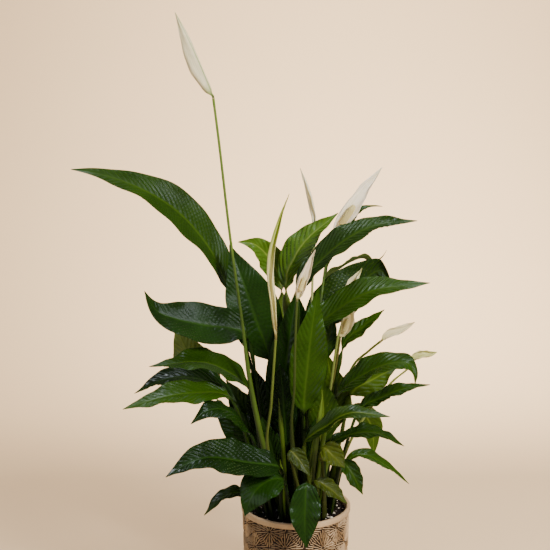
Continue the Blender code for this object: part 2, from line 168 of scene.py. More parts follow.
def buildStudio():
    scene = bpy.context.scene
    camera = bpy.data.objects.new("camera", bpy.data.cameras.new("camera"))
    camera.location = studio["cameraPlace"]
    camera.rotation_euler = (radians(studio["cameraTilt"]), 0.0, 0.0)
    camera.data.lens = studio["lens"]
    camera.data.sensor_width = 36.0
    scene.collection.objects.link(camera)
    scene.camera = camera

    world = bpy.data.worlds.new("room")
    world.use_nodes = True
    background = world.node_tree.nodes["Background"]
    background.inputs["Color"].default_value = paint(studio["room"])
    background.inputs["Strength"].default_value = studio["roomPower"]
    scene.world = world

    for name, (place, target, size, power, tint) in studio["lamps"].items():
        light = bpy.data.lights.new(name, "AREA")
        light.size = size
        light.energy = power
        light.color = paint(tint)[:3]
        lamp = bpy.data.objects.new(name, light)
        lamp.location = place
        lamp.rotation_euler = (Vector(target) - Vector(place)).to_track_quat("-Z", "Y").to_euler()
        lamp.visible_glossy = name not in studio["unmirrored"]
        lamp.visible_diffuse = name not in studio["mirrorOnly"]
        scene.collection.objects.link(lamp)

    # a pale floor that curves up behind the plant
    reach, back, bend, steps = 6.0, 2.4, 1.7, 32
    line = [(-reach, 0.0), (back - bend, 0.0)]
    line += [(back - bend + bend * sin(0.5 * pi * i / steps), bend - bend * cos(0.5 * pi * i / steps))
             for i in range(1, steps + 1)]
    line.append((back, reach))
    builder = bmesh.new()
    rows = [[builder.verts.new((x, y, z)) for x in (-reach, reach)] for y, z in line]
    for (a, b), (d, c) in zip(rows, rows[1:]):
        builder.faces.new((a, b, c, d))
    mesh = bpy.data.meshes.new("floor")
    builder.to_mesh(mesh)
    builder.free()
    mesh.shade_smooth()
    floor = linkPiece("floor", mesh)
    material, tree, shader = newMaterial("paleWall", Roughness=0.9)
    wall = mixOf(tree, spotsOf(tree, 1.2), paint(studio["backdrop"], 0.97), paint(studio["backdrop"], 1.03))
    tree.links.new(wall, shader.inputs["Base Color"])
    # clear when seen from outside, so it never hides the plant
    outside = addNode(tree, "ShaderNodeNewGeometry").outputs["Backfacing"]
    clear = addNode(tree, "ShaderNodeBsdfTransparent").outputs[0]
    either = addNode(tree, "ShaderNodeMixShader", {0: outside, 1: shader.outputs[0], 2: clear}).outputs[0]
    tree.links.new(either, tree.nodes["Material Output"].inputs["Surface"])
    mesh.materials.append(material)
    floor.visible_glossy = False   # the leaves mirror the lamps and the room only


buildStudio()
print("studio ready")


# reading the CAD pieces as rings, so that each finer piece grows along the same line

weld = 2e-6        # vertices nearer than this are one
endGap = 0.004     # rings this near a tube's end are part of its cap
insidePot = 0.93   # share of the pot's radius that stalks grow within
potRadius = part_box("pot")[1].x
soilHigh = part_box("soil")[1]


def inRoot(vertex):
    # how near a vertex is to the soil inside the pot; anything outside the pot comes last
    outside = hypot(vertex.co.x, vertex.co.y) > insidePot * potRadius
    return vertex.co.z + (1.0 if outside else 0.0)


def nearPiece(other):
    tree = kdtree.KDTree(len(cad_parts[other].data.vertices))
    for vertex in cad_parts[other].data.vertices:
        tree.insert(vertex.co, vertex.index)
    tree.balance()
    return lambda vertex: tree.find(vertex.co)[2]


def inOrder(ring):
    beside = {vertex: [] for vertex in ring}
    for vertex in ring:
        for edge in vertex.link_edges:
            other = edge.other_vert(vertex)
            if other in ring and any(set(face.verts) - ring for face in edge.link_faces):
                beside[vertex].append(other)
    line = [min(ring, key=lambda vertex: vertex.index)]
    line.append(min(beside[line[0]], key=lambda vertex: vertex.index))
    while len(line) < len(ring):
        line.append(next(vertex for vertex in beside[line[-1]] if vertex != line[-2]))
    return line


def matched(last, ring):
    # turns a ring so that each of its vertices follows on from the same one of the last ring
    best = None
    for turned in (ring, ring[::-1]):
        for start in range(len(ring)):
            tried = turned[start:] + turned[:start]
            links = sum(any(edge.other_vert(a) == b for edge in a.link_edges) for a, b in zip(last, tried))
            stretch = sum((a.co - b.co).length for a, b in zip(last, tried))
            if best is None or (links, -stretch) > best[0]:
                best = ((links, -stretch), tried)
    return best[1]


def mergedCopy(name):
    # a working copy of a CAD node's mesh with its shared vertices joined
    builder = bmesh.new()
    builder.from_mesh(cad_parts[name].data)
    bmesh.ops.remove_doubles(builder, verts=builder.verts, dist=weld)
    return builder


def nextLayer(current, seen):
    return {edge.other_vert(vertex) for vertex in current for edge in vertex.link_edges} - seen


def cadMiddles(name, perRing, rank, topRank):
    # the middle line and radius of a CAD tube, from its root to the end that topRank finds
    builder = mergedCopy(name)
    top = [vertex.co.copy() for vertex in sorted(builder.verts, key=topRank)[:perRing]]
    current = set(sorted(builder.verts, key=rank)[:perRing])
    seen, layers = set(), []
    while current:
        seen |= current
        if len(current) == perRing:
            layers.append([vertex.co.copy() for vertex in current])
        current = nextLayer(current, seen)
    builder.free()
    end = sum(top, Vector()) / perRing
    layers = [layer for layer in layers if (sum(layer, Vector()) / perRing - end).length > endGap] + [top]
    places = np.array([[spot[:] for spot in layer] for layer in layers])
    centre = places.mean(1)
    return centre, np.linalg.norm(places - centre[:, None], axis=2).mean(1)


def cadRings(name, perRing, rank):
    builder = mergedCopy(name)
    builder.verts.index_update()
    current = set(sorted(builder.verts, key=rank)[:perRing])
    seen, rings = set(), []
    while current:
        seen |= current
        ring = inOrder(current)
        rings.append(matched(rings[-1], ring) if rings else ring)
        current = nextLayer(current, seen)
    places = np.array([[vertex.co[:] for vertex in ring] for ring in rings])
    builder.free()
    return places


def sheetRings(name, look, rank, hooded):
    # rings that start at the sheet's left edge and go over its upper (or inner) side first
    perRing = look["ringVerts"]
    rings = cadRings(name, perRing, rank)
    half, quarter = perRing // 2, perRing // 4
    sample = slice(look["stalkRings"] + 3, look["stalkRings"] + 8)   # a few rings where the sheet is open
    blade = rings[sample]

    def foldGap(k):
        turned = np.roll(blade, -k, axis=1)
        near = np.linalg.norm(turned[:, 1] - turned[:, -1], axis=1)
        return (near + np.linalg.norm(turned[:, half - 1] - turned[:, half + 1], axis=1)).sum()

    rings = np.roll(rings, -min(range(half), key=foldGap), axis=1)
    blade = rings[sample]

    def underScore(side):
        if hooded:   # the inner side of a roll is the shorter one
            return np.linalg.norm(np.diff(side, axis=1), axis=2).sum()
        middle = 0.5 * (side[:, 0] + side[:, -1])
        sag = np.linalg.norm(side[:, quarter] - middle, axis=1)
        around = np.linalg.norm(0.5 * (side[:, 1] + side[:, -2]) - middle, axis=1)
        return np.abs(around - 0.75 * sag).sum()

    over = blade[:, :half + 1]
    under = np.concatenate([blade[:, half:], blade[:, :1]], axis=1)
    if underScore(over) > underScore(under):
        rings = np.roll(rings, -half, axis=1)
    return rings


def smoothThrough(knots, values, places):
    # a smooth curve through values at the knots, read at the places
    knots, values, places = np.asarray(knots, float), np.asarray(values, float), np.asarray(places, float)
    shape = (-1,) + (1,) * (values.ndim - 1)
    step = np.diff(knots)
    slope = np.diff(values, axis=0) / step.reshape(shape)
    before, after = step[:-1].reshape(shape), step[1:].reshape(shape)
    tangent = np.empty_like(values)
    tangent[1:-1] = (slope[:-1] * after + slope[1:] * before) / (before + after)
    tangent[0], tangent[-1] = slope[0], slope[-1]
    i = np.clip(np.searchsorted(knots, places, side="right") - 1, 0, len(knots) - 2)
    t = ((places - knots[i]) / step[i]).reshape(shape)
    wide = step[i].reshape(shape)
    a, b = values[i], values[i + 1]
    return ((2 * t**3 - 3 * t**2 + 1) * a + (t**3 - 2 * t**2 + t) * wide * tangent[i]
            + (3 * t**2 - 2 * t**3) * b + (t**3 - t**2) * wide * tangent[i + 1])


def easeBetween(low, high, value):
    t = np.clip((value - low) / (high - low), 0.0, 1.0)
    return t * t * (3 - 2 * t)


def runAlong(centre):
    # how far along a line each of its points is
    return np.concatenate([[0], np.cumsum(np.linalg.norm(np.diff(centre, axis=0), axis=1))])


def unitOf(vectors):
    return vectors / np.maximum(np.linalg.norm(vectors, axis=-1, keepdims=True), 1e-12)


def closedSkin(name, rings, attributes, uv, material):
    # one closed skin over rings of equal count, with a middle point at each end
    count, around = rings.shape[:2]
    verts = np.concatenate([rings.reshape(-1, 3), rings[:1].mean(1), rings[-1:].mean(1)])
    row = np.arange(around)
    following = np.roll(row, -1)
    faces = []
    for k in range(count - 1):
        a, b = k * around, (k + 1) * around
        faces += np.stack([a + row, a + following, b + following, b + row], axis=1).tolist()
    foot, head, last = count * around, count * around + 1, (count - 1) * around
    faces += [[foot, int(following[i]), int(i)] for i in row]
    faces += [[head, int(last + i), int(last + following[i])] for i in row]
    mesh = bpy.data.meshes.new(name)
    mesh.from_pydata(verts.tolist(), [], faces)
    corner = verts[[f[:3] for f in faces]]
    if np.einsum("ij,ij->i", corner[:, 0], np.cross(corner[:, 1], corner[:, 2])).sum() < 0:
        mesh.flip_normals()
    mesh.shade_smooth()

    def withEnds(values, *size):
        return np.concatenate([values.reshape(-1, *size), values[:1].mean(1), values[-1:].mean(1)])

    storeValues(mesh, {label: withEnds(values) for label, values in attributes.items()})
    ends = withEnds(uv, 2)
    loops = np.empty(len(mesh.loops), np.int32)
    mesh.loops.foreach_get("vertex_index", loops)
    mesh.uv_layers.new(name="UVMap").data.foreach_set("uv", ends[loops].reshape(-1).astype(np.float32))
    mesh.materials.append(material)
    mesh.update()
    return linkPiece(name, mesh)


def settle(piece, slotName, *cadNodes):
    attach(piece, "root")
    if cadNodes:
        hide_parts(*cadNodes)


def grownSheet(name, rings, look, shape, material):
    # a stalk that widens into a thin sheet; shape gives how far the sheet is lifted along its normal
    half, quarter = rings.shape[1] // 2, rings.shape[1] // 4
    centre = 0.5 * (rings[:, quarter] + rings[:, quarter + half])
    along = runAlong(centre)
    neck, opened = along[look["stalkRings"]:look["stalkRings"] + 2]
    length = along[-1] - neck
    stalkPlaces = np.linspace(0.0, neck, look["stalkRows"], endpoint=False) if neck > 0 else np.zeros(0)
    rows = look.get("rows") or int(np.clip(length / look["rowStep"], *look["rowLimits"]))
    bladePlaces = neck + length * np.linspace(0.0, 1.0, rows)
    places = np.concatenate([stalkPlaces, bladePlaces])
    smooth = smoothThrough(along, rings, places)
    u = np.clip((places - neck) / length, 0.0, 1.0)[:, None]

    x = np.linspace(-1.0, 1.0, look["columns"])
    v = (np.sign(x) * (1.0 - (1.0 - np.abs(x))**1.25))[None, :]
    knots = np.linspace(-1, 1, half + 1)
    over = smoothThrough(knots, smooth[:, :half + 1].transpose(1, 0, 2), v[0]).transpose(1, 0, 2)
    side = 0.5 * (smooth[:, half] - smooth[:, 0])
    rise = 0.5 * (smooth[:, quarter] - smooth[:, quarter + half])
    lengthwise = np.gradient(over, axis=0)
    crosswise = np.gradient(over, axis=1)
    normal = unitOf(np.cross(crosswise, lengthwise))
    flip = np.sign((normal[:, normal.shape[1] // 2] * rise).sum(1).sum())
    normal *= flip if flip else 1.0
    if "slim" in look:
        spine = 0.35 * over[:, over.shape[1] // 2][:, None] + 0.325 * (over[:, :1] + over[:, -1:])
        over = spine + (over - spine) * look["slim"]
    width = 0.5 * np.linalg.norm(crosswise, axis=2).sum(1, keepdims=True)   # half of the sheet's width
    width = np.maximum(width, 1e-5)

    lift, skin, extra = shape(u, v, width, length)
    over = over + normal * lift[..., None]
    under = over - normal * skin[..., None]

    # the round stalk, and its change into the sheet
    angle = pi * 0.5 * (v + 1.0)
    middle = 0.5 * (smooth[:, 0] + smooth[:, half])[:, None]
    rising = easeBetween(0.0, look["sheathReach"], places / max(neck, 1e-6))
    sheath = look["sheath"] * (1.0 - rising)[:, None, None]
    sideways = -np.cos(angle)[..., None] * side[:, None] * (1.0 + sheath)
    upward = np.sin(angle)[..., None] * rise[:, None]
    toSheet = easeBetween(neck, opened, places)[:, None, None]
    over = (1 - toSheet) * (middle + sideways + (1 - 0.3 * sheath) * upward) + toSheet * over
    under = (1 - toSheet) * (middle + sideways - upward) + toSheet * under

    def thereAndBack(there, back):
        return np.concatenate([there, back[:, -2:0:-1]], axis=1)

    both = thereAndBack(over, under)
    values = {label: thereAndBack(value, value) for label, value in extra.items()}
    isUnder = np.concatenate([np.zeros(over.shape[:2]), np.ones((len(over), over.shape[1] - 2))], axis=1)
    values["under"] = isUnder
    values["stalk"] = np.broadcast_to(1.0 - toSheet[..., 0], isUnder.shape).copy()
    values["height"] = np.broadcast_to((places / along[-1])[:, None], isUnder.shape).copy()
    rowsOfU = np.broadcast_to(u, over.shape[:2])
    columnsOfV = np.broadcast_to(0.5 + 0.5 * v, over.shape[:2])
    flat = np.stack([columnsOfV, rowsOfU], axis=2)
    return closedSkin(name, both, values, thereAndBack(flat, flat), material)


# leaves

leafLook = {
    "count": 40, "ringVerts": 8, "stalkRings": 4,   # as the CAD leaves are built
    "rowStep": 0.0015, "rowLimits": (56, 190), "columns": 31, "stalkRows": 22,
    "sheath": 1.5, "sheathReach": 0.55,   # how much wider the stalk's foot is, and how far up
    "veinSpacing": 0.0100, "veinLean": 1.45, "veinSweep": 12.0, "veinDepth": 0.0013,
    "ribHalfWidth": 0.0016, "ribDepth": 0.0007, "ribBelow": 0.0009,
    "skin": 0.0005, "edgeWave": 0.0022, "fold": 0.10,
}

# finish of each kind of leaf: deep and bright greens of the upper side, rib, underside, stalk; deep at 0.7
# also paints shade in the vein grooves, and the stalk colour fades as painted shade toward its foot
leafColumns = ("deep", "bright", "rib", "under", "stalk", "rough")
leafKinds = {
    "leafDark": asKind(leafColumns, "#071503", "#193509", "#2f4f16", "#33461f", "#182a0b", 0.2),
    "leafGreen": asKind(leafColumns, "#0f2304", "#284507", "#46621a", "#465a26", "#1d350c", 0.27),
    "leafPale": asKind(leafColumns, "#2f520e", "#5c7a20", "#93a648", "#6d8236", "#3a5814", 0.28),
    "leafFresh": asKind(leafColumns, "#1a3206", "#3a520c", "#7a9130", "#61762e", "#324e10", 0.3),
    "leafYoung": asKind(leafColumns, "#24330a", "#3e4a10", "#68702a", "#66722c", "#3a4a16", 0.34),
}
kindOf = {
    "leafDark": (2, 3, 6, 8, 10, 13, 24, 25, 37, 40, 11),
    "leafPale": (15, 16),
    "leafFresh": (4, 27, 30, 38, 39, 29),
    "leafYoung": (32, 14, 35),
}


def leafMaterial(name, kind):
    def ink(key, strength=1.0):
        return paint(kind[key], strength)

    material, tree, shader = newMaterial(name, Coat_Weight=0.07, Coat_Roughness=0.10, Specular_IOR_Level=0.26)
    vein, rib, under = attributeOf(tree, "vein"), attributeOf(tree, "rib"), attributeOf(tree, "under")
    stalk, height, tone = attributeOf(tree, "stalk"), attributeOf(tree, "height"), attributeOf(tree, "tone")
    clouds = spotsOf(tree, 28.0, 3.0)
    grain = spotsOf(tree, 420.0, 2.0)
    shade = mathOf(tree, "ADD", timesOf(tree, clouds, 0.75), timesOf(tree, tone, 0.5))
    blade = mixOf(tree, rampOf(tree, shade, [(0.25, 0.0), (0.85, 1.0)]), ink("deep"), ink("bright"))
    blade = mixOf(tree, timesOf(tree, grain, 0.16), blade, ink("bright"))
    # the vein grooves on the upper side are darkened toward the deep green: painted shade in the grooves
    blade = mixOf(tree, timesOf(tree, vein, 0.35), blade, ink("deep", 0.7))
    below = mixOf(tree, clouds, ink("under", 0.75), ink("under", 1.1))
    below = mixOf(tree, timesOf(tree, vein, 0.5), below, ink("rib"))
    blade = mixOf(tree, under, blade, below)
    blade = mixOf(tree, timesOf(tree, rib, 0.6), blade, ink("rib"))
    # the petiole fades to a fifth of its colour toward its foot: painted shade deep in the clump
    shadedPetiole = mixOf(tree, height, ink("stalk", 0.2), ink("stalk", 1.1))
    blade = mixOf(tree, stalk, blade, mixOf(tree, timesOf(tree, grain, 0.5), shadedPetiole, ink("rib", 0.6)))
    dull = mathOf(tree, "MULTIPLY_ADD", clouds, 0.16, kind["rough"] - 0.06)
    tree.links.new(mathOf(tree, "MULTIPLY_ADD", under, 0.2, dull), shader.inputs["Roughness"])
    # fine veins between the main ones
    fine = mathOf(tree, "SINE", timesOf(tree, attributeOf(tree, "phase"), 8.0 * pi))
    fine = mathOf(tree, "MULTIPLY_ADD", fine, 0.3, timesOf(tree, grain, 0.6))
    coatWith(tree, shader, blade, fine, 0.14, 0.0003)
    return material


def leafShape(seed):
    rng = np.random.default_rng(seed)
    waves, shift, lean = rng.uniform(1.6, 2.8), rng.uniform(0, 1, 2), rng.uniform(-0.4, 0.4)
    spacing = leafLook["veinSpacing"] * rng.uniform(0.9, 1.15)
    tone, foldShare, depthShare = rng.uniform(0.0, 1.0), rng.uniform(0.4, 1.6), rng.uniform(0.6, 1.3)

    def shape(u, v, width, length):
        out = np.abs(v) * width                                  # metres from the midrib
        run = u * length - leafLook["veinLean"] * out - leafLook["veinSweep"] * out**2
        phase = run / spacing + 0.25 * np.sign(v)
        away = easeBetween(0.0018, 0.006, out)
        open_ = easeBetween(0.02, 0.12, u) * (1.0 - 0.6 * easeBetween(0.85, 1.0, u))
        narrow = np.clip(width / 0.012, 0.15, 1.0)
        groove = np.abs(np.sin(pi * phase))
        quilt = leafLook["veinDepth"] * depthShare * (2.0 * groove**0.8 - 1.2) * away * open_ * narrow
        quilt *= 1.0 - easeBetween(0.86, 1.0, np.abs(v))
        ribWidth = leafLook["ribHalfWidth"] * (1.0 - 0.7 * u) * narrow
        ribMark = np.exp(-(out / ribWidth)**2) * (1.0 - 0.5 * u)
        ripple = np.sin(2 * pi * (waves * u + shift[0] + 0.12 * np.sign(v)))
        ripple = ripple + 0.5 * np.sin(2 * pi * (2.3 * waves * u + shift[1] + 0.3 * np.sign(v)))
        wave = leafLook["edgeWave"] * ripple * v**2 * open_ * narrow
        droop = 0.0012 * lean * np.sin(pi * u) * v * narrow
        fold = leafLook["fold"] * foldShare * (out - 0.35 * width) * open_
        lift = quilt + wave + droop + fold - leafLook["ribDepth"] * ribMark * open_
        skin = leafLook["skin"] * (1.0 - np.abs(v)**10) + leafLook["ribBelow"] * ribMark
        skin = skin * np.clip(width / 0.004, 0.2, 1.0)
        # veinMark marks the sunken vein grooves; the leaf material darkens them on the upper side as painted
        # shade
        veinMark = np.exp(-(groove / 0.28)**2) * away * open_
        full = np.broadcast_to
        size = np.broadcast_shapes(u.shape, v.shape)
        extra = {"vein": full(veinMark, size), "rib": full(ribMark, size), "phase": full(phase, size),
                 "tone": full(tone, size)}
        return full(lift, size), full(skin, size), extra

    return shape


def buildLeaves():
    materials = {name: leafMaterial(name, kind) for name, kind in leafKinds.items()}
    for number in range(1, leafLook["count"] + 1):
        node = f"leaf_{number:02d}"
        kind = next((name for name, numbers in kindOf.items() if number in numbers), "leafGreen")
        rings = sheetRings(node, leafLook, inRoot, hooded=False)
        piece = grownSheet(f"leaf{number:02d}", rings, leafLook, leafShape(number), materials[kind])
        settle(piece, "leaf", node)


buildLeaves()
print("leaves grown")

# small leaves deep inside the clump, in mm and degrees
innerLook = {
    "stations": (0.07, 0.18, 0.32, 0.48, 0.64, 0.8, 0.92, 1.0), "stalkStations": (0.0, 0.25, 0.5, 0.75, 1.0),
    "bowPlace": 0.55, "bow": 0.06, "cup": 0.12, "stalkRadius": 2.6, "stalkTaper": 0.25, "seed": 200,
    # foot, neck, tip, width and facing (azimuth, elevation)
    "leaves": [
        ((-10, 20), (-22, 28, 178), (-38, 40, 300), 54, (-95, 15)),
        ((0, 12), (-4, 20, 172), (-10, 30, 282), 50, (-88, 12)),
        ((12, 16), (14, 26, 182), (24, 40, 286), 46, (-80, 15)),
        ((-22, 6), (-36, 10, 186), (-56, 16, 268), 38, (-100, 20)),
        ((20, 4), (27, 12, 196), (37, 22, 300), 38, (-75, 12)),
        ((-4, -6), (-13, -10, 226), (-22, -12, 342), 34, (-95, 10)),
        ((4, 2), (4, 6, 282), (2, 12, 430), 42, (-88, 8)),
        ((8, -14), (14, -22, 192), (26, -30, 272), 26, (-70, 30)),
        ((-14, -20), (-26, -32, 204), (-46, -44, 278), 26, (-110, 30)),
    ],
}


def innerRings(foot, neck, tip, width, facing):
    # rings in the same order as a CAD leaf's
    foot = np.array([*foot, 1000 * soilHigh.z - 2.0])
    neck, tip = np.array(neck, float), np.array(tip, float)
    place, raised = innerLook["bowPlace"], innerLook["bow"] * np.linalg.norm(tip - neck)
    bow = neck + place * (tip - neck) + np.array([0.0, 0.0, raised])
    stalk = [foot + (neck - foot) * share for share in innerLook["stalkStations"]]
    blade = smoothThrough([0, place, 1], [neck, bow, tip], innerLook["stations"])
    centre = np.array([*stalk, *blade])
    tangent = unitOf(np.gradient(centre, axis=0))
    azimuth, elevation = (radians(value) for value in facing)
    look = np.array([cos(elevation) * cos(azimuth), cos(elevation) * sin(azimuth), sin(elevation)])
    normal = unitOf(look - tangent * (tangent @ look)[:, None])
    side = np.cross(tangent, normal)
    rings = []
    for k in range(len(centre)):
        if k < len(stalk):
            angles = pi - np.arange(8) * pi / 4
            reach = innerLook["stalkRadius"] - innerLook["stalkTaper"] * k
            across, rise = reach * np.cos(angles), reach * np.sin(angles)
        else:
            share = innerLook["stations"][k - len(stalk)]
            half = 0.5 + 0.5 * width * sin(pi * share**0.8)**0.85
            across = np.array([-1, -0.5, 0, 0.5, 1, 0.5, 0, -0.5]) * half
            rise = innerLook["cup"] * np.abs(across) - np.array([0, 0, 0, 0, 0, 0.8, 1.2, 0.8])
        rings.append(centre[k] + across[:, None] * side[k] + rise[:, None] * normal[k])
    return np.array(rings) / 1000


def buildInnerLeaves(material):
    for number, (foot, neck, tip, width, facing) in enumerate(innerLook["leaves"], 1):
        rings = innerRings(foot, neck, tip, width, facing)
        shape = leafShape(innerLook["seed"] + number)
        piece = grownSheet(f"innerLeaf{number:02d}", rings, leafLook, shape, material)
        settle(piece, "leaf")


buildInnerLeaves(bpy.data.materials["leafDark"])
print("inner leaves grown")


# flowers: hoods, buds, stalks and spikes

hoodLook = {
    "ringVerts": 12, "stalkRings": 1, "seed": 70,
    "rows": 72, "columns": 49, "stalkRows": 4, "sheath": 0.0, "sheathReach": 0.1,
    "veins": 13, "veinDepth": 0.00013, "skin": 0.0005, "edgeWave": 0.0010, "streakWidth": 0.05,
}
budLook = dict(hoodLook, stalkRows=56, stalkRings=6)

# colours along each hood: foot, body, tip, and the green line down its back
hoodColumns = ("foot", "body", "tip", "streak", "edge", "streaked")
hoodKinds = {
    "flower_1": asKind(hoodColumns, "#6d8a34", "#e4dcc0", "#c3c09c", "#5f8428", "#f2ecd6", 0.9),
    "flower_2": asKind(hoodColumns, "#b9bf90", "#f4f0e6", "#e2dcc6", "#b9c190", "#fbf8f0", 0.3, slim=0.86),
    "flower_3": asKind(hoodColumns, "#a08a5a", "#e0d9ae", "#7f9a20", "#8fa038", "#ddd9a2", 0.5,
                       turn=0.45, slim=0.74),
    "flower_4": asKind(hoodColumns, "#8f9450", "#e3d9c2", "#c2b48e", "#b0a878", "#f0e8d6", 0.3),
    "flower_5": asKind(hoodColumns, "#a19c5c", "#e4dcba", "#bdb488", "#a3a864", "#f0ead0", 0.35),
    "flower_6": asKind(hoodColumns, "#a3a462", "#e6debe", "#b5a878", "#a0aa60", "#f0ebd4", 0.4),
    "bud_1": asKind(hoodColumns, "#a8b878", "#e8e3cc", "#dcd8b8", "#b0bc78", "#f4f0e0", 0.35),
    "bud_2": asKind(hoodColumns, "#8a9a48", "#e4dcbe", "#a9b068", "#6f8e38", "#f0ead2", 0.85),
    "bud_3": asKind(hoodColumns, "#7e9040", "#c6c690", "#a4ac58", "#84963c", "#dcdab0", 0.5),
}


def hoodMaterial(name, kind):
    def ink(key, strength=1.0):
        return paint(kind[key], strength)

    material, tree, shader = newMaterial(name, Roughness=0.5, Subsurface_Weight=0.12, Subsurface_Scale=0.004,
                                         Subsurface_Radius=(1.0, 0.8, 0.4), Sheen_Weight=0.08)
    along, across = attributeOf(tree, "along"), attributeOf(tree, "across")
    stalk, height, inner = attributeOf(tree, "stalk"), attributeOf(tree, "height"), attributeOf(tree, "under")
    clouds, grain = spotsOf(tree, 60.0, 4.0), spotsOf(tree, 600.0, 2.0)
    turn = kind.get("turn", 0.76)   # where the body's colour starts to turn into the tip's
    body = rampOf(tree, along, [(0.02, ink("foot")), (0.16, ink("body")),
                                (turn, ink("body")), (min(0.98, turn + 0.25), ink("tip"))])
    body = mixOf(tree, rampOf(tree, across, [(0.75, 0.0), (1.0, 0.6)]), body, ink("edge"))
    body = mixOf(tree, timesOf(tree, clouds, 0.22), body, ink("tip", 0.95))
    body = mixOf(tree, timesOf(tree, attributeOf(tree, "vein"), 0.30), body, ink("streak", 1.1))
    streak = timesOf(tree, attributeOf(tree, "rib"), kind["streaked"])
    body = mixOf(tree, streak, body, ink("streak"))
    body = mixOf(tree, timesOf(tree, inner, 0.12), body, ink("streak"))
    # the stalk part fades to a third of its foot colour toward the bottom: painted shade deep in the clump
    shadedStem = mixOf(tree, height, ink("foot", 0.3), ink("foot", 0.9))
    body = mixOf(tree, stalk, body, mixOf(tree, timesOf(tree, grain, 0.4), shadedStem, ink("streak", 0.7)))
    height = mathOf(tree, "MULTIPLY_ADD", attributeOf(tree, "vein"), -0.5, timesOf(tree, grain, 0.7))
    coatWith(tree, shader, body, height, 0.3, 0.0003)
    return material


def hoodShape(seed):
    rng = np.random.default_rng(seed)
    shift = rng.uniform(0, 1, 3)

    def shape(u, v, width, length):
        size = np.broadcast_shapes(u.shape, v.shape)
        open_ = easeBetween(0.02, 0.15, u) * (1.0 - 0.7 * easeBetween(0.8, 1.0, u))
        ridge = np.abs(np.sin(0.5 * pi * hoodLook["veins"] * (v + 0.15 * np.sin(5.0 * u))))
        veinMark = np.exp(-(ridge / 0.3)**2) * open_
        ribMark = np.exp(-(v / hoodLook["streakWidth"])**2) * easeBetween(0.0, 0.1, u)
        ripple = np.sin(2 * pi * (1.7 * u + shift[0] + 0.2 * np.sign(v)))
        ripple = ripple + 0.6 * np.sin(2 * pi * (4.1 * u + shift[1] + 0.35 * np.sign(v)))
        wave = hoodLook["edgeWave"] * ripple * np.abs(v)**3 * open_ * np.clip(width / 0.012, 0.2, 1.0)
        dents = 0.0006 * np.sin(2 * pi * (1.3 * v + 1.1 * u + shift[2])) * open_
        lift = wave + dents - hoodLook["veinDepth"] * veinMark - 0.0003 * ribMark
        skin = hoodLook["skin"] * (1.0 - 0.8 * np.abs(v)**8) + 0.0003 * ribMark
        skin = skin * np.clip(width / 0.003, 0.25, 1.0)
        extra = {"vein": veinMark, "rib": ribMark, "along": u, "across": np.abs(v)}
        extra = {label: np.broadcast_to(value, size) for label, value in extra.items()}
        return np.broadcast_to(lift, size), np.broadcast_to(skin, size), extra

    return shape


def buildHoods():
    for number, (node, kind) in enumerate(hoodKinds.items()):
        name = node.replace("_", "")
        material = hoodMaterial(name + "Petal", kind)
        if node.startswith("bud"):
            solid, look, rank, slotName = node, budLook, inRoot, "bud"
        else:
            solid, name, slotName = node + "_spathe", name + "Hood", "spathe"
            rank = nearPiece(node + "_stalk")
            look = {**hoodLook, "slim": kind.get("slim", 1.0)}
        rings = sheetRings(solid, look, rank, hooded=True)
        piece = grownSheet(name, rings, look, hoodShape(hoodLook["seed"] + number), material)
        settle(piece, slotName, solid)



buildHoods()
print("hoods and buds grown")


def newTree(name, inputs):
    # a Geometry Nodes tree with named inputs, its group nodes ready
    tree = bpy.data.node_groups.new(name, "GeometryNodeTree")
    tree.interface.new_socket("Geometry", in_out="INPUT", socket_type="NodeSocketGeometry")
    tree.interface.new_socket("Geometry", in_out="OUTPUT", socket_type="NodeSocketGeometry")
    for label, (kind, value) in inputs.items():
        socket = tree.interface.new_socket(label, in_out="INPUT", socket_type="NodeSocket" + kind)
        if value is not None:
            socket.default_value = value
    return tree, tree.nodes.new("NodeGroupInput"), tree.nodes.new("NodeGroupOutput")


def applyTree(piece, tree, settings):
    modifier = piece.modifiers.new(tree.name, "NODES")
    modifier.node_group = tree
    for socket in tree.interface.items_tree:
        if socket.item_type == "SOCKET" and socket.in_out == "INPUT" and socket.name in settings:
            modifier[socket.identifier] = settings[socket.name]
    result = bpy.data.meshes.new_from_object(piece.evaluated_get(bpy.context.evaluated_depsgraph_get()))
    piece.modifiers.clear()
    piece.data = result


def newPiece(name, verts, edges=(), faces=()):
    mesh = bpy.data.meshes.new(name)
    mesh.from_pydata([tuple(v) for v in verts], list(edges), list(faces))
    return linkPiece(name, mesh)


def endWith(tree, output, geometry, material):
    realized = addNode(tree, "GeometryNodeRealizeInstances", {"Geometry": geometry}).outputs[0]
    finished = addNode(tree, "GeometryNodeSetMaterial", {"Geometry": realized, "Material": material})
    tree.links.new(finished.outputs[0], output.inputs[0])


def storedValue(tree, name):
    return addNode(tree, "GeometryNodeInputNamedAttribute", {"Name": name}, data_type="FLOAT").outputs[0]


def roundPlace(tree, angle, reach, height):
    # the spot at an angle and a reach round the upright axis
    x, y = (timesOf(tree, mathOf(tree, turn, angle), reach) for turn in ("COSINE", "SINE"))
    return addNode(tree, "ShaderNodeCombineXYZ", {"X": x, "Y": y, "Z": height}).outputs[0]


# flower stalks: a tube swept along each CAD stalk's middle line

stalkLook = {
    "steps": 90, "sides": 20, "ringVerts": 8,
    "sheath": 0.85, "knee": 0.12,   # how much wider the lower half is, and the end under the hood
    # low is the near-black colour at each stalk's foot: painted shade deep in the clump
    "low": "#101b08", "high": {"flower_1": "#5f7f28", "flower_2": "#466019", "flower_3": "#5f6f27",
                               "flower_4": "#3e4e16", "flower_5": "#56551f", "flower_6": "#4d5a1c"},
}


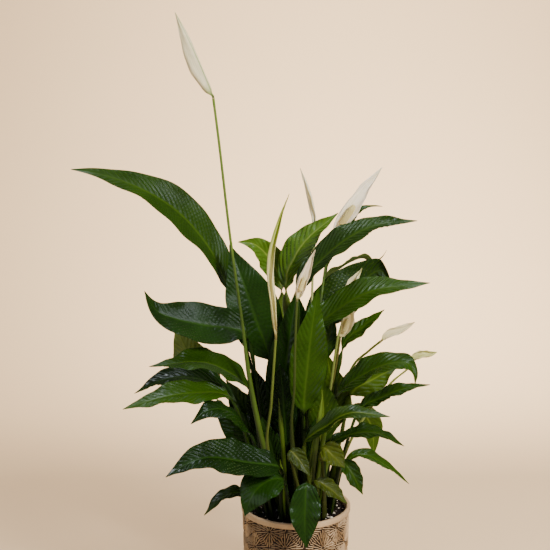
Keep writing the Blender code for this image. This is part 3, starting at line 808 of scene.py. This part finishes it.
def stalkMaterial(name, high):
    material, tree, shader = newMaterial(name, Roughness=0.42, Coat_Weight=0.1, Coat_Roughness=0.3)
    height = attributeOf(tree, "height")
    grain = spotsOf(tree, 900.0, 3.0, stretch=(1, 1, 0.12))
    clouds = spotsOf(tree, 45.0, 3.0)
    # the stalk darkens from its own green at the top to near black at its foot: painted shade deep in the
    # clump
    stops = [(0.0, paint(stalkLook["low"])), (0.4, paint(high, 0.4)), (1.0, paint(high))]
    colour = rampOf(tree, height, stops)
    colour = mixOf(tree, timesOf(tree, grain, 0.4), colour, paint(high, 0.6))
    colour = mixOf(tree, timesOf(tree, clouds, 0.3), colour, paint(high, 1.15))
    coatWith(tree, shader, colour, grain, 0.3, 0.0003)
    return material


def tubeTree():
    tree, given, output = newTree("stalkTube", {"Sides": ("Int", 20), "Material": ("Material", None)})
    curve = addNode(tree, "GeometryNodeMeshToCurve", {"Mesh": given.outputs["Geometry"]}).outputs[0]
    radius = storedValue(tree, "thickness")
    curve = addNode(tree, "GeometryNodeSetCurveRadius", {"Curve": curve, "Radius": radius}).outputs[0]
    section = addNode(tree, "GeometryNodeCurvePrimitiveCircle",
                      {"Resolution": given.outputs["Sides"], "Radius": 1.0})
    sweep = addNode(tree, "GeometryNodeCurveToMesh", {"Curve": curve, "Profile Curve": section.outputs[0],
                                                      "Fill Caps": True})
    if "Scale" in sweep.inputs:
        tree.links.new(radius, sweep.inputs["Scale"])
    smooth = addNode(tree, "GeometryNodeSetShadeSmooth", {"Geometry": sweep.outputs[0]}).outputs[0]
    endWith(tree, output, smooth, given.outputs["Material"])
    return tree


def sweptTube(tree, name, line, thick, height, sides, material):
    piece = newPiece(name, line, [(i, i + 1) for i in range(len(line) - 1)])
    storeValues(piece.data, {"thickness": thick, "height": height})
    applyTree(piece, tree, {"Sides": sides, "Material": material})
    return piece


def buildStalks():
    tree = tubeTree()
    for node, high in stalkLook["high"].items():
        name, hood = node.replace("_", "") + "Stalk", nearPiece(node + "_spathe")
        centre, radius = cadMiddles(node + "_stalk", stalkLook["ringVerts"], inRoot, hood)
        along = runAlong(centre)
        places = np.linspace(0, along[-1], stalkLook["steps"])
        line, thick = smoothThrough(along, centre, places), smoothThrough(along, radius, places)
        share = places / along[-1]
        sheath, knee = 1 - easeBetween(0.25, 0.55, share), easeBetween(0.97, 1.0, share)
        thick = thick * (1.0 + stalkLook["sheath"] * sheath + stalkLook["knee"] * knee)
        material = stalkMaterial(name + "Skin", high)
        piece = sweptTube(tree, name, line, thick, share, stalkLook["sides"], material)
        settle(piece, "stalk", node + "_stalk")



buildStalks()
print("stalks swept")


# flower spikes: rows of small knobs wound round a core

spikeLook = {
    "knobs": 330, "knobSize": 0.00085, "knobSpread": (0.8, 1.15), "turn": 137.508, "seed": 4,
    "colour": "#d9cd93", "shade": "#a89a55", "light": "#efe7bd", "coreSteps": 16,
    # radius and height of the core, as shares of the spike's
    "core": [(0, 0), (0.5, 0.0), (0.8, 0.1), (0.92, 0.3), (0.86, 0.85), (0.6, 0.95), (0, 0.985)],
}


def spikeMaterial():
    material, tree, shader = newMaterial("spikeKnobs", Roughness=0.55, Subsurface_Weight=0.1,
                                         Subsurface_Scale=0.002)
    spots = spotsOf(tree, 900.0, 3.0)
    patches = spotsOf(tree, 120.0, 2.0)
    colour = mixOf(tree, spots, paint(spikeLook["colour"]), paint(spikeLook["shade"]))
    colour = mixOf(tree, timesOf(tree, patches, 0.4), colour, paint(spikeLook["light"]))
    coatWith(tree, shader, colour, spots, 0.4, 0.0002)
    return material


def spikeTree():
    inputs = {"Length": ("Float", 0.03), "Radius": ("Float", 0.003), "Knobs": ("Int", 300),
              "Knob Size": ("Float", 0.0008), "Turn": ("Float", 2.4), "Seed": ("Int", 1),
              "Material": ("Material", None)}
    tree, given, output = newTree("windingKnobs", inputs)
    get = given.outputs
    index = addNode(tree, "GeometryNodeInputIndex").outputs[0]
    share = mathOf(tree, "DIVIDE", index, get["Knobs"])
    angle = timesOf(tree, index, get["Turn"])
    blunt = mathOf(tree, "POWER", mathOf(tree, "SUBTRACT", 1.0, mathOf(tree, "POWER", share, 9.0)), 0.5)
    swell = mathOf(tree, "MULTIPLY_ADD", share, -0.18, 1.05)
    reach = timesOf(tree, timesOf(tree, blunt, swell), get["Radius"])
    height = timesOf(tree, mathOf(tree, "MULTIPLY_ADD", share, 0.93, 0.07), get["Length"])
    place = roundPlace(tree, angle, reach, height)
    points = addNode(tree, "GeometryNodePoints", {"Count": get["Knobs"], "Position": place}).outputs[0]
    knob = addNode(tree, "GeometryNodeMeshIcoSphere", {"Radius": get["Knob Size"], "Subdivisions": 2})
    smallest, largest = spikeLook["knobSpread"]
    size = addNode(tree, "FunctionNodeRandomValue", {2: smallest, 3: largest, 8: get["Seed"]},
                   data_type="FLOAT")
    spread = addNode(tree, "GeometryNodeInstanceOnPoints",
                     {"Points": points, "Instance": knob.outputs[0], "Scale": size.outputs[1]})
    joined = addNode(tree, "GeometryNodeJoinGeometry")
    tree.links.new(spread.outputs[0], joined.inputs[0])
    tree.links.new(get["Geometry"], joined.inputs[0])
    smooth = addNode(tree, "GeometryNodeSetShadeSmooth", {"Geometry": joined.outputs[0]}).outputs[0]
    endWith(tree, output, smooth, get["Material"])
    return tree


def turnedMesh(profile, steps):
    # verts and faces of a closed turned shape from (radius, height) pairs that start and end on its axis
    verts, faces = [(0, 0, profile[0][1])], []
    for radius, height in profile[1:-1]:
        verts += [(radius * cos(2 * pi * i / steps), radius * sin(2 * pi * i / steps), height)
                  for i in range(steps)]
    verts.append((0, 0, profile[-1][1]))
    rows = len(profile) - 2
    for i in range(steps):
        j = (i + 1) % steps
        faces.append((0, 1 + j, 1 + i))
        faces.append((len(verts) - 1, 1 + (rows - 1) * steps + i, 1 + (rows - 1) * steps + j))
        for r in range(rows - 1):
            a, b = 1 + r * steps, 1 + (r + 1) * steps
            faces.append((a + i, a + j, b + j, b + i))
    return verts, faces


def buildSpikes():
    tree, material = spikeTree(), spikeMaterial()
    for flower in ("flower_2", "flower_4", "flower_5"):
        node = flower + "_spadix"
        spots = np.array([vertex.co[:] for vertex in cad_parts[node].data.vertices])
        middle = spots.mean(0)
        axis = np.linalg.svd(spots - middle)[2][0]
        run = (spots - middle) @ axis
        low, high = middle + axis * run.min(), middle + axis * run.max()
        neckSpot = np.array(sum(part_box(flower + "_stalk"), Vector()) / 2)
        if np.linalg.norm(low - neckSpot) > np.linalg.norm(high - neckSpot):
            low, high = high, low
        length = float(np.linalg.norm(high - low))
        aside = (spots - low) - np.outer((spots - low) @ (high - low), high - low) / length**2
        radius = float(np.linalg.norm(aside, axis=1).max())
        core = [(wide * radius, far * length) for wide, far in spikeLook["core"]]
        verts, faces = turnedMesh(core, spikeLook["coreSteps"])
        piece = newPiece(flower.replace("_", "") + "Spike", verts, faces=faces)
        knob = spikeLook["knobSize"]
        applyTree(piece, tree, {"Length": length - knob, "Radius": radius - 0.5 * knob, "Knob Size": knob,
                                "Knobs": spikeLook["knobs"], "Turn": radians(spikeLook["turn"]),
                                "Seed": spikeLook["seed"], "Material": material})
        turn = Vector(high - low).to_track_quat("Z", "Y").to_matrix().to_4x4()
        piece.data.transform(Matrix.Translation(Vector(low)) @ turn)
        settle(piece, "spadix", node)


buildSpikes()
print("spikes wound")


# pot: a carved wall painted near black as shade between the pale ridges that burst from staggered centres

potLook = {
    "columns": 9, "rowHeight": 0.0265, "jitter": 0.16, "rays": 40, "seed": 11,
    "ridgeWidth": 0.00112,
    "hubs": (0.0020, 0.0148, 0.0074, 0.0148),   # where each ray in four starts, from its fan's middle
    "ridgeHeight": 0.0019, "recess": 0.0016, "border": 0.0004,
    "lipHeight": 0.008, "lipWidth": 0.0052, "lipRound": 0.0016, "baseRadius": 0.0705, "rimRadius": 0.0738,
    "steps": 192, "footBand": 0.003, "carvedFrom": 0.0034, "carvedSteps": 23,
    "footEdge": [(0, 0), (0.0683, 0), (0.0692, 0.0003), (0.0699, 0.0012)],
    "inside": [(0.0668, 0.006), (0.0655, 0.0042), (0.0640, 0.004), (0, 0.004)],
    # groove is a near-black brown for the carved wall between the ridges: painted shade in the recess
    "clay": "#bca384", "clayLight": "#d4c0a2", "clayDark": "#8c6c45", "groove": "#2a1b10",
}
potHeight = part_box("pot")[1].z
wallTop = potHeight - potLook["lipHeight"]


def wallRadius(height):
    share = height / potHeight
    return potLook["baseRadius"] + (potLook["rimRadius"] - potLook["baseRadius"]) * share


def clayMaterial(name, light, mid, dark, roughness):
    material, tree, shader = newMaterial(name, Coat_Weight=0.06, Coat_Roughness=0.3)
    clouds, grain = spotsOf(tree, 22.0, 5.0, 0.6), spotsOf(tree, 700.0, 3.0, 0.7)
    streaks = spotsOf(tree, 160.0, 4.0, 0.6, (1, 1, 0.25))
    colour = rampOf(tree, clouds, [(0.3, paint(mid, 0.75)), (0.5, paint(mid)), (0.72, paint(light))])
    colour = mixOf(tree, timesOf(tree, streaks, 0.45), colour, paint(mid))
    colour = mixOf(tree, rampOf(tree, grain, [(0.58, 0.0), (0.7, 0.7)]), colour, paint(dark, 0.7))
    tree.links.new(mathOf(tree, "MULTIPLY_ADD", grain, 0.25, roughness - 0.12), shader.inputs["Roughness"])
    height = mathOf(tree, "MULTIPLY_ADD", grain, 0.5, streaks)
    coatWith(tree, shader, colour, height, 0.4, 0.0004)
    return material


def ridgePoints():
    # one point for each ridge: where it starts on the unrolled wall, its turn, its length and its width
    rng = np.random.default_rng(potLook["seed"])
    around = 2 * pi * wallRadius(0.5 * wallTop)
    columns, rowHeight = potLook["columns"], potLook["rowHeight"]
    spacing = around / columns
    rows = int(ceil(wallTop / rowHeight)) + 2
    centres = []
    for row in range(-1, rows):
        for column in range(columns):
            shift = rng.uniform(-1, 1, 2) * potLook["jitter"] * rowHeight
            x = (column + 0.5 * (row % 2)) * spacing + shift[0]
            centres.append((x, wallTop - 0.006 - row * rowHeight + shift[1]))
    centres = np.array(centres)
    low, high = 0.0032, wallTop - 0.0006
    points, turns, lengths, widths = [], [], [], []
    for centre in centres:
        away = centres - centre
        away[:, 0] = (away[:, 0] + 0.5 * around) % around - 0.5 * around
        away = away[(np.hypot(*away.T) > 1e-6) & (np.hypot(*away.T) < 2.5 * spacing)]
        first = rng.uniform(0, 2 * pi)
        for ray in range(potLook["rays"]):
            angle = first + 2 * pi * ray / potLook["rays"]
            heading = np.array([cos(angle), sin(angle)])
            facing = away @ heading
            ahead = facing > 1e-6
            reach = ((away[ahead]**2).sum(1) / (2 * facing[ahead])).min(initial=spacing) - potLook["border"]
            start = potLook["hubs"][ray % 4]
            # keeps each ridge between the foot and the lip
            for edge, sign in ((high, 1.0), (low, -1.0)):
                climb = heading[1] * sign
                room = (edge - centre[1]) * sign
                if climb > 1e-6:
                    reach = min(reach, room / climb)
                elif room < 0:
                    start = max(start, room / climb) if climb < -1e-6 else 1.0
            if reach - start < 0.0025:
                continue
            points.append((*(centre + start * heading), 0.0))
            turns.append(angle)
            lengths.append(reach - start)
            widths.append(potLook["ridgeWidth"] * rng.uniform(0.85, 1.1))
    return points, turns, lengths, widths, around


def ridgeTree():
    inputs = {"Ridge": ("Object", None), "Height": ("Float", 0.001), "Around": ("Float", 0.46),
              "Low Radius": ("Float", 0.07), "High Radius": ("Float", 0.074), "Pot Height": ("Float", 0.14),
              "Material": ("Material", None)}
    tree, given, output = newTree("wallRidges", inputs)
    get = given.outputs
    shape = addNode(tree, "GeometryNodeObjectInfo", {"Object": get["Ridge"]}).outputs["Geometry"]
    turn = addNode(tree, "ShaderNodeCombineXYZ", {"Z": storedValue(tree, "turn")}).outputs[0]
    length, width = storedValue(tree, "length"), storedValue(tree, "width")
    size = addNode(tree, "ShaderNodeCombineXYZ", {"X": length, "Y": width, "Z": get["Height"]})
    spread = addNode(tree, "GeometryNodeInstanceOnPoints", {"Points": get["Geometry"], "Instance": shape,
                                                             "Rotation": turn, "Scale": size.outputs[0]})
    flat = addNode(tree, "GeometryNodeRealizeInstances", {"Geometry": spread.outputs[0]}).outputs[0]
    # the flat sheet of ridges is rolled round the tapered wall
    place = addNode(tree, "GeometryNodeInputPosition").outputs[0]
    split = addNode(tree, "ShaderNodeSeparateXYZ", {0: place}).outputs
    angle = timesOf(tree, mathOf(tree, "DIVIDE", split[0], get["Around"]), 2 * pi)
    share = mathOf(tree, "DIVIDE", split[1], get["Pot Height"])
    taper = mathOf(tree, "SUBTRACT", get["High Radius"], get["Low Radius"])
    radius = mathOf(tree, "ADD", mathOf(tree, "MULTIPLY_ADD", share, taper, get["Low Radius"]), split[2])
    rolled = roundPlace(tree, angle, radius, split[1])
    moved = addNode(tree, "GeometryNodeSetPosition", {"Geometry": flat, "Position": rolled}).outputs[0]
    endWith(tree, output, moved, get["Material"])
    return tree


def oneRidge():
    # a low rounded wedge, one unit long, that widens from its start
    section = ((-0.5, 0.0), (-0.38, 0.75), (0.0, 1.0), (0.38, 0.75), (0.5, 0.0))
    stations = ((0.0, 0.50, 0.45), (0.15, 0.76, 0.9), (0.55, 0.94, 1.0), (0.90, 1.0, 1.0), (1.0, 0.70, 0.4))
    verts = [(x, wide * y, high * z) for x, wide, high in stations for y, z in section]
    count = len(section)
    faces = [tuple(reversed(range(count))), tuple(range(len(verts) - count, len(verts)))]
    for k in range(len(stations) - 1):
        for i in range(count):
            j = (i + 1) % count
            faces.append((k * count + i, k * count + j, (k + 1) * count + j, (k + 1) * count + i))
    return newPiece("oneRidge", verts, faces=faces)


def buildPot():
    rim, recess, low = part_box("pot")[1].x, potLook["recess"], potLook["carvedFrom"]
    inner, band, soft = rim - potLook["lipWidth"], potLook["footBand"], potLook["lipRound"]
    profile = [*potLook["footEdge"], (wallRadius(band) - 0.0002, band), (wallRadius(low) - recess, low)]
    for i in range(1, potLook["carvedSteps"] + 1):
        height = low + (wallTop - 0.0044) * i / potLook["carvedSteps"]
        profile.append((wallRadius(height) - recess, height))
    profile += [(wallRadius(wallTop) - recess, wallTop - 0.0006), (rim - 0.0012, wallTop - 0.0002),
                (rim - 0.0004, wallTop + 0.0002), (rim, wallTop + 0.0012), (rim + 0.0001, wallTop + 0.004)]
    for i in range(9):
        turn = pi * i / 8
        profile.append((0.5 * (rim + inner) + 0.5 * (rim - inner) * cos(turn),
                        potHeight - soft + soft * sin(turn)))
    profile += [(inner - 0.0003, potHeight - 0.008), *potLook["inside"]]
    verts, faces = turnedMesh(profile, potLook["steps"])
    pot = newPiece("potWall", verts, faces=faces)
    pot.data.shade_smooth()
    # the carved wall between the ridges takes the near-black groove colour: painted shade in the recess
    groove = clayMaterial("carvedGrooveShade", potLook["clayDark"], potLook["groove"], potLook["groove"], 0.7)
    clay = clayMaterial("fieldClay", potLook["clayLight"], potLook["clay"], potLook["clayDark"], 0.52)
    pot.data.materials.append(clay)
    pot.data.materials.append(groove)
    for face in pot.data.polygons:
        height, reach = face.center.z, hypot(face.center.x, face.center.y)
        carved = band < height < wallTop - 0.0001 and reach > wallRadius(height) - 0.002
        face.material_index = 1 if carved else 0
    settle(pot, "pot_stoneware", "pot")

    points, turns, lengths, widths, around = ridgePoints()
    ridges = newPiece("potRidges", points)
    storeValues(ridges.data, {"turn": turns, "length": lengths, "width": widths})
    ridge = oneRidge()
    settings = {"Ridge": ridge, "Height": potLook["ridgeHeight"], "Around": around,
                "Low Radius": potLook["baseRadius"] - recess, "High Radius": potLook["rimRadius"] - recess,
                "Pot Height": potHeight, "Material": clay}
    applyTree(ridges, ridgeTree(), settings)
    bpy.data.objects.remove(ridge)
    settle(ridges, "pot_stoneware", "pot")
    print("ridges on the pot:", len(points))


buildPot()
print("pot turned and carved")


# potting mix: a rough mound, its crumbs and its white perlite

soilLook = {
    "rings": 44, "steps": 150, "rough": 0.0016, "mound": 0.003, "edge": 0.0004, "seed": 5,
    "wet": "#0b0805", "damp": "#1b130c", "dry": "#33241a", "fleck": "#3d2c1f",
    # each kind of bit: how many to a square metre, smallest, largest, how fine, how flat, its material
    "bits": {
        "soilCrumbs": (260000.0, 0.0007, 0.0024, 1, 0.6, ("crumb", "#0b0705", "#261a11", 0.9)),
        "perliteBits": (13000.0, 0.0009, 0.0026, 2, 0.8, ("perlite", "#b9b4a8", "#efece4", 0.75)),
    },
}


def soilMaterial():
    material, tree, shader = newMaterial("dampMix", Roughness=0.85)
    clods, grain = spotsOf(tree, 180.0, 5.0, 0.7), spotsOf(tree, 1100.0, 3.0, 0.7)
    stops = [(0.3, paint(soilLook["wet"])), (0.6, paint(soilLook["damp"])), (0.85, paint(soilLook["dry"]))]
    colour = rampOf(tree, clods, stops)
    colour = mixOf(tree, rampOf(tree, grain, [(0.6, 0.0), (0.75, 0.7)]), colour, paint(soilLook["fleck"]))
    coatWith(tree, shader, colour, mathOf(tree, "ADD", clods, grain), 0.8, 0.001)
    return material


def bitMaterial(name, low, high, roughness):
    material, tree, shader = newMaterial(name, Roughness=roughness)
    spots, patches = spotsOf(tree, 1400.0, 3.0), spotsOf(tree, 210.0, 2.0)
    colour = mixOf(tree, rampOf(tree, patches, [(0.35, 0.0), (0.65, 1.0)]), paint(low), paint(high))
    colour = mixOf(tree, timesOf(tree, spots, 0.4), colour, paint(low, 0.7))
    coatWith(tree, shader, colour, spots, 0.6, 0.0003)
    return material


def scatterTree():
    inputs = {"Bit": ("Object", None), "Density": ("Float", 1000.0), "Smallest": ("Float", 0.001),
              "Largest": ("Float", 0.002), "Seed": ("Int", 1), "Material": ("Material", None)}
    tree, given, output = newTree("scatteredBits", inputs)
    get = given.outputs
    spread = addNode(tree, "GeometryNodeDistributePointsOnFaces",
                     {"Mesh": get["Geometry"], "Seed": get["Seed"]}, distribute_method="RANDOM")
    tree.links.new(get["Density"], spread.inputs["Density"])
    shape = addNode(tree, "GeometryNodeObjectInfo", {"Object": get["Bit"]}).outputs["Geometry"]
    spin = addNode(tree, "FunctionNodeRandomValue", {0: (0, 0, 0), 1: (6.28, 6.28, 6.28), 8: get["Seed"]},
                   data_type="FLOAT_VECTOR")
    size = addNode(tree, "FunctionNodeRandomValue", {2: get["Smallest"], 3: get["Largest"], 8: get["Seed"]},
                   data_type="FLOAT")
    placed = addNode(tree, "GeometryNodeInstanceOnPoints",
                     {"Points": spread.outputs[0], "Instance": shape,
                      "Rotation": spin.outputs[0], "Scale": size.outputs[1]})
    endWith(tree, output, placed.outputs[0], get["Material"])
    return tree


def looseBit(name, detail, flatness, seed):
    builder = bmesh.new()
    bmesh.ops.create_icosphere(builder, subdivisions=detail, radius=1.0)
    for vertex in builder.verts:
        vertex.co *= 1.0 + 0.35 * noise.noise(vertex.co * 1.3 + Vector((seed, 0, 0)))
        vertex.co.z *= flatness
    mesh = bpy.data.meshes.new(name)
    builder.to_mesh(mesh)
    builder.free()
    return linkPiece(name, mesh)


def buildSoil():
    low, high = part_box("soil")
    radius, mound, edge = high.x, soilLook["mound"], soilLook["edge"]
    rimLevel = high.z - mound
    profile = [(0, low.z), (low.x * -0.5, low.z), (0.985 * radius * 0.955, low.z)]
    profile += [(radius * 0.975, 0.5 * (low.z + high.z)), (radius - edge, rimLevel - 0.004)]
    count = soilLook["rings"]
    profile += [((radius - edge) * (1 - i / count), rimLevel + mound * (1 - (1 - i / count)**2))
                for i in range(count)]
    profile.append((0, high.z))
    verts, faces = turnedMesh(profile, soilLook["steps"])
    rough = []
    for x, y, z in verts:
        if z > rimLevel - 0.001:
            spot = Vector((x, y, 0)) * 70
            lumps = 0.8 * noise.noise(spot) + 0.5 * noise.noise(spot * 3.1) + 0.25 * noise.noise(spot * 8.3)
            z += soilLook["rough"] * lumps - 0.0008
        rough.append((x, y, z))
    soil = newPiece("soilMound", rough, faces=faces)
    soil.data.shade_smooth()
    soil.data.materials.append(soilMaterial())
    settle(soil, "potting_mix", "soil")

    top = [face for face in faces if all(verts[i][2] > rimLevel - 0.0005 for i in face)]
    tree = scatterTree()
    for name, (density, smallest, largest, detail, flatness, finish) in soilLook["bits"].items():
        bits = newPiece(name, rough, faces=top)
        bit = looseBit("oneBit", detail, flatness, soilLook["seed"])
        applyTree(bits, tree, {"Bit": bit, "Density": density, "Smallest": smallest, "Largest": largest,
                               "Seed": soilLook["seed"], "Material": bitMaterial(*finish)})
        bpy.data.objects.remove(bit)
        settle(bits, "potting_mix", "soil")
        print(name, len(bits.data.polygons))


buildSoil()
print("potting mix laid")


# young shoots that stand rolled up between the stalks

shootLook = {
    "steps": 40, "sides": 14, "high": "#5d7a22", "depth": 0.004, "bow": 0.012,
    # foot (x, y), tip (x, y, z), thickest radius, in metres
    "shoots": [
        ((0.016, -0.036), (0.034, -0.052, 0.318), 0.0034),
        ((0.022, -0.030), (0.042, -0.040, 0.286), 0.0030),
        ((0.010, -0.030), (0.026, -0.046, 0.262), 0.0028),
        ((-0.012, -0.022), (-0.024, -0.030, 0.300), 0.0030),
        ((-0.004, 0.012), (-0.006, 0.020, 0.395), 0.0032),
        ((0.030, 0.030), (0.052, 0.062, 0.300), 0.0030),
        ((-0.024, 0.024), (-0.050, 0.058, 0.292), 0.0028),
        ((0.012, -0.040), (0.020, -0.056, 0.214), 0.0026),
        ((0.030, -0.022), (0.046, -0.036, 0.232), 0.0026),
        ((-0.016, -0.036), (-0.022, -0.058, 0.224), 0.0026),
    ],
}


def buildShoots():
    tree = tubeTree()
    # the shoots share the stalks' skin, with its painted shade at the foot
    material = stalkMaterial("shootSkin", shootLook["high"])
    for number, (foot, tip, thickest) in enumerate(shootLook["shoots"], 1):
        start = Vector((*foot, soilHigh.z - shootLook["depth"]))
        bowed = start.lerp(Vector(tip), 0.5) + Vector((0, 0, shootLook["bow"]))
        places = np.linspace(0, 1, shootLook["steps"])
        line = smoothThrough([0, 0.5, 1], [start[:], bowed[:], Vector(tip)[:]], places)
        closing = 1 - easeBetween(0.72, 1.0, places)
        thick = thickest * (0.62 + 0.38 * np.sin(pi * places**1.4)) * closing + 0.0003
        piece = sweptTube(tree, f"shoot{number:02d}", line, thick, places, shootLook["sides"], material)
        settle(piece, "stalk")



buildShoots()
print("shoots set")
